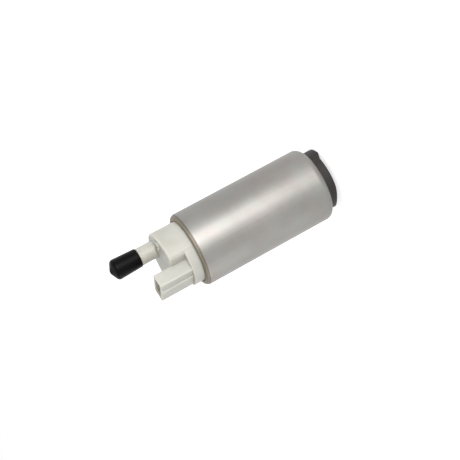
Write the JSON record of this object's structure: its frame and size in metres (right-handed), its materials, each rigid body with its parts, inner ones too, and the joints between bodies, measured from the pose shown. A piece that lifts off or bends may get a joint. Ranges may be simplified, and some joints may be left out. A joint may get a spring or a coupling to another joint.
{
  "type": "electric in-tank fuel pump",
  "caption": "Electric fuel pump: a steel can round a motor and a turbine impeller, with a white outlet cover, a plug socket and a capped hose nipple.",
  "frame": {"origin": "on the pump axis at the level of the inlet face that the pump stands on", "axes": "+Z from the inlet to the outlet along the pump axis, +X towards the outlet nipple, -X towards the connector"},
  "size_m": [0.038, 0.038, 0.1158],
  "materials": {
    "can_steel": "satin, drawn along the can",
    "white_acetal": "satin off-white moulding",
    "charcoal_plastic": "satin moulding",
    "casing_plastic": "matte moulding",
    "soft_black": "soft, slightly glossy",
    "seal_rubber": "matte",
    "impeller_plastic": "matte brown moulding",
    "shaft_steel": "ground",
    "spring_steel": "bright",
    "soft_iron": "dull",
    "lamination_steel": "dull",
    "ferrite": "matte",
    "carbon": "matte",
    "copper_wire": "enamelled copper",
    "copper_segment": "turned copper",
    "brass_strip": "bright",
    "insulator_fibre": "red-brown fibre",
    "hub_phenolic": "matte brown"
  },
  "bodies": {
    "housing": {"can_shell": "can_steel", "inlet_cover": "charcoal_plastic", "thrust_button": "carbon", "pump_casing": "casing_plastic", "casing_seal": "seal_rubber", "cover_seal": "seal_rubber", "lower_bush": "carbon", "upper_bush": "carbon", "flux_ring": "soft_iron", "magnet_north": "ferrite", "magnet_south": "ferrite", "magnet_clips": "spring_steel", "outlet_cover": "white_acetal", "brush_contact_positive": "brass_strip", "brush_contact_negative": "brass_strip", "terminal_positive": "brass_strip", "terminal_negative": "brass_strip", "choke_cores": "ferrite", "choke_windings": "copper_wire", "check_valve_seat": "charcoal_plastic", "relief_plug": "brass_strip", "brush_spring_positive": "spring_steel", "brush_spring_negative": "spring_steel", "brush_lead_positive": "copper_segment", "brush_lead_negative": "copper_segment", "check_valve_spring": "spring_steel", "relief_spring": "spring_steel"},
    "rotor": {"rotor_shaft": "shaft_steel", "rotor_core": "lamination_steel", "rotor_windings": "copper_wire", "winding_insulators": "insulator_fibre", "commutator_hub": "hub_phenolic", "commutator_segments": "copper_segment", "impeller": "impeller_plastic"},
    "check_valve_poppet": {"check_valve_poppet": "white_acetal"},
    "relief_ball": {"relief_ball": "shaft_steel"},
    "brush_positive": {"brush_positive": "carbon"},
    "brush_negative": {"brush_negative": "carbon"},
    "outlet_cap": {"outlet_cap": "soft_black"}
  },
  "joints": [
    {"name": "rotor_spin", "type": "hinge", "parent": "housing", "child": "rotor", "pos_m": [0, 0, 0.04], "axis": [0, 0, 1], "continuous": true},
    {"name": "check_valve_lift", "type": "slide", "parent": "housing", "child": "check_valve_poppet", "axis": [0, 0, 1], "range_m": [0, 0.0025], "stiffness_N_per_m": 60, "springref_m": -0.004, "deforming": ["check_valve_spring"]},
    {"name": "relief_lift", "type": "slide", "parent": "housing", "child": "relief_ball", "axis": [0, 0, 1], "range_m": [0, 0.0012], "stiffness_N_per_m": 1000, "springref_m": -0.0015, "deforming": ["relief_spring"]},
    {"name": "brush_positive_slide", "type": "slide", "parent": "housing", "child": "brush_positive", "axis": [0, 0, 1], "range_m": [0, 0.002], "stiffness_N_per_m": 100, "springref_m": -0.008, "deforming": ["brush_spring_positive", "brush_lead_positive"]},
    {"name": "brush_negative_slide", "type": "slide", "parent": "housing", "child": "brush_negative", "axis": [0, 0, 1], "range_m": [0, 0.002], "stiffness_N_per_m": 100, "springref_m": -0.008, "deforming": ["brush_spring_negative", "brush_lead_negative"]},
    {"name": "cap_pull", "type": "slide", "parent": "housing", "child": "outlet_cap", "axis": [0, 0, 1], "range_m": [0, 0.016]}
  ]
}
